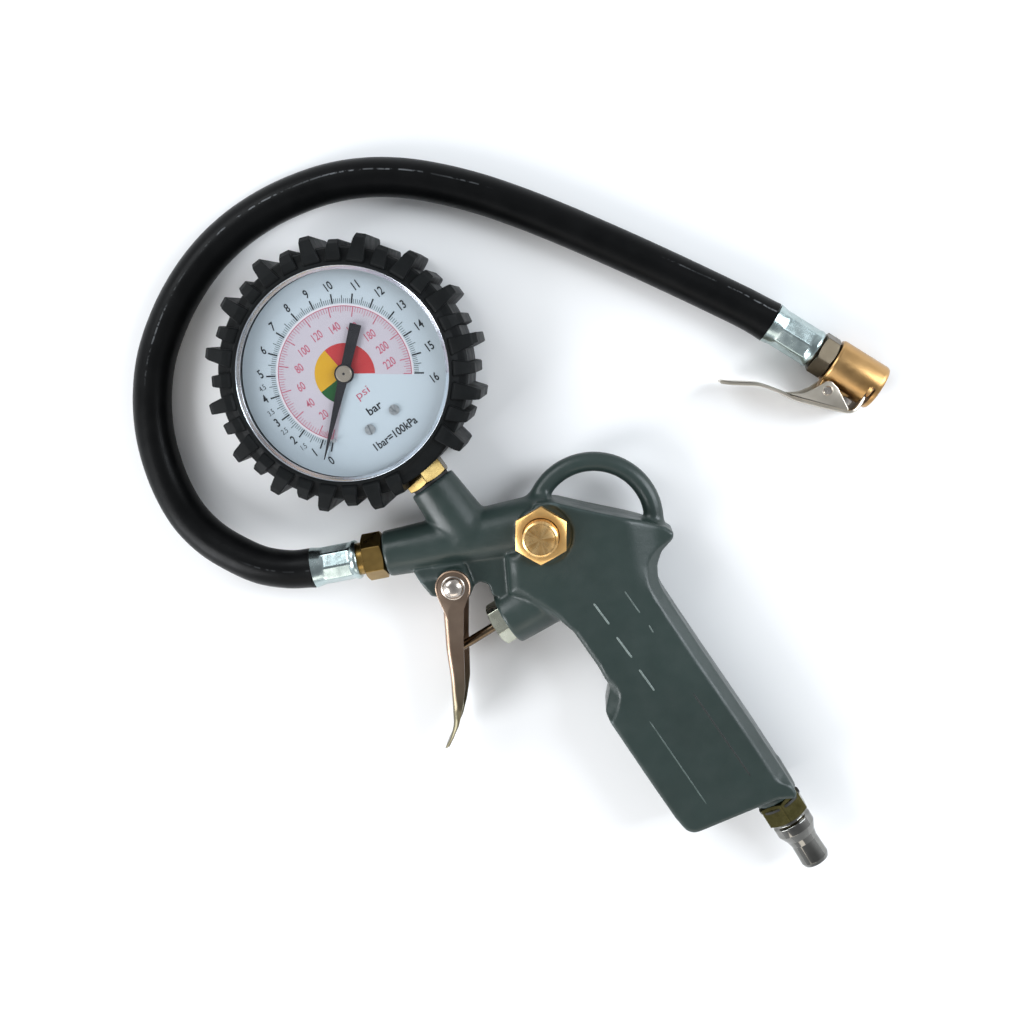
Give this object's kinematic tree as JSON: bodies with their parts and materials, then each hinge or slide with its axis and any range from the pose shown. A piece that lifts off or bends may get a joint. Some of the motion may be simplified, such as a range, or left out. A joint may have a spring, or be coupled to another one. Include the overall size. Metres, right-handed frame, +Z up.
{
  "type": "tyre inflator with gauge",
  "caption": "Pistol-grip tyre inflator: cast body, sprung trigger valve, dial pressure gauge in a rubber boot, bleed button and short hose with a clip-on lever chuck.",
  "frame": {"origin": "centre of the gauge boot's flat back, on the surface the inflator lies on", "axes": "+Z up out of the dial along the gauge axis, +X along the barrel from the hose end to the rear, +Y from the barrel towards the gauge"},
  "size_m": [0.2519, 0.2633, 0.0347],
  "materials": {
    "body_paint": "satin grey-green powder coat",
    "rubber": "satin moulded rubber",
    "hose_rubber": "smooth black hose",
    "seal_rubber": "matt",
    "brass": "turned brass",
    "zinc": "bright zinc plate",
    "nickel": "warm nickel plate",
    "chrome": "polished chrome",
    "steel": "bright steel",
    "black_case": "gloss black",
    "dial_white": "printed enamel",
    "needle_black": "satin black",
    "clear": "clear window"
  },
  "bodies": {
    "gun": {"gun_body": "body_paint", "inlet_plug": "chrome", "inlet_seal": "seal_rubber", "gland_nut": "zinc", "rod_seal": "seal_rubber", "valve_sleeve": "brass", "valve_spring": "steel", "bleed_nut": "brass", "bleed_spring": "steel", "trigger_rivet": "steel", "hose_fitting": "brass", "gun_ferrule": "zinc", "hose": "hose_rubber", "chuck_ferrule": "zinc", "chuck_adapter": "nickel", "chuck_body": "brass", "chuck_seal": "seal_rubber", "chuck_depressor": "brass", "chuck_lever_pin": "steel", "chuck_lever_spring": "steel", "gauge_case": "black_case", "gauge_socket": "brass", "gauge_seal": "seal_rubber", "bourdon_tube": "brass", "tube_tip": "brass", "movement_bottom_plate": "brass", "movement_top_plate": "brass", "movement_pillars": "brass", "hairspring": "brass", "dial": "dial_white", "dial_screws": "steel", "stop_pin": "steel", "lens": "clear", "lens_gasket": "seal_rubber", "bezel": "chrome", "boot": "rubber"},
    "trigger": {"trigger_lever": "nickel"},
    "valve_stem": {"valve_rod": "steel", "valve_poppet_seal": "seal_rubber"},
    "bleed_plunger": {"bleed_button": "brass", "bleed_poppet": "brass", "bleed_seal": "seal_rubber"},
    "sector": {"sector_gear": "brass"},
    "pointer": {"pinion": "steel", "needle": "needle_black", "needle_cap": "steel"},
    "link": {"tube_link": "steel"},
    "chuck_clip": {"chuck_lever": "nickel"}
  },
  "joints": [
    {"name": "trigger_squeeze", "type": "hinge", "parent": "gun", "child": "trigger", "pos_m": [0.0195, -0.0757, 0.0135], "axis": [0, 0, 1], "range_deg": [0, 10], "stiffness_Nm_per_rad": 1.35, "springref_deg": -9.74},
    {"name": "valve_push", "type": "slide", "parent": "gun", "child": "valve_stem", "axis": [0.9336, 0.3584, 0], "range_m": [0, 0.0042], "deforming": ["valve_spring"]},
    {"name": "bleed_press", "type": "slide", "parent": "gun", "child": "bleed_plunger", "axis": [0, 0, -1], "range_m": [0, 0.003], "stiffness_N_per_m": 1200, "springref_m": -0.003, "deforming": ["bleed_spring"]},
    {"name": "sector_turn", "type": "hinge", "parent": "gun", "child": "sector", "pos_m": [0.00569, -0.01279, 0.0208], "axis": [0, 0, 1], "range_deg": [0, 42.5], "stiffness_Nm_per_rad": 0.0005, "springref_deg": -11.46, "deforming": ["hairspring"]},
    {"name": "pointer_turn", "type": "hinge", "parent": "gun", "child": "pointer", "pos_m": [0, 0, 0.0283], "axis": [0, 0, 1], "range_deg": [-256, 1]},
    {"name": "link_turn", "type": "hinge", "parent": "sector", "child": "link", "pos_m": [0.00591, -0.01728, 0.0217], "axis": [0, 0, 1], "range_deg": [-43, 0.5]},
    {"name": "chuck_clip_turn", "type": "hinge", "parent": "gun", "child": "chuck_clip", "pos_m": [0.1516, -0.03657, 0.008], "axis": [0, 0, -1], "range_deg": [0, 10], "stiffness_Nm_per_rad": 0.6, "springref_deg": -17.19, "deforming": ["chuck_lever_spring"]}
  ],
  "couplings": [
    {"joint": "valve_push", "follows": "trigger_squeeze", "m_per_rad": 0.0232},
    {"joint": "pointer_turn", "follows": "sector_turn", "ratio": -6},
    {"joint": "link_turn", "follows": "sector_turn", "ratio": -1}
  ]
}
